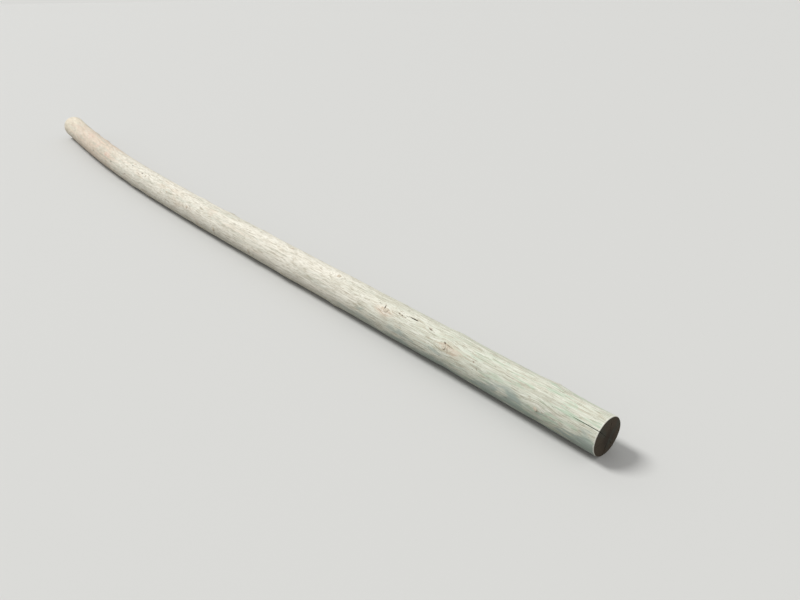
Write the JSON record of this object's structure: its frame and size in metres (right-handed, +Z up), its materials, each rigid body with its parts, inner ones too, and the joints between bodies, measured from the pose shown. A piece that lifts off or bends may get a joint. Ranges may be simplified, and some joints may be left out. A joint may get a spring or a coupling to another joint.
{
  "type": "wooden utility pole",
  "caption": "Bare wooden utility pole lying on the ground: a peeled, treated log with taper, bow, sawn ends, trimmed knots, drying checks and patches of inner bark.",
  "frame": {"origin": "middle of the bounding box, on the ground that the pole lies on", "axes": "+X along the pole from the butt to the top, +Z up; the pole bows towards -Y"},
  "size_m": [7.62, 0.3582, 0.2465],
  "materials": {
    "treated_wood": "peeled, pressure-treated pine, weathered pale grey-green",
    "knot_wood": "dark knots, trimmed almost flush",
    "inner_bark": "thin pinkish-brown inner bark left by the peeler"
  },
  "bodies": {
    "root": {"peeled_log": "treated_wood", "trimmed_knots": "knot_wood", "inner_bark": "inner_bark"}
  },
  "joints": []
}
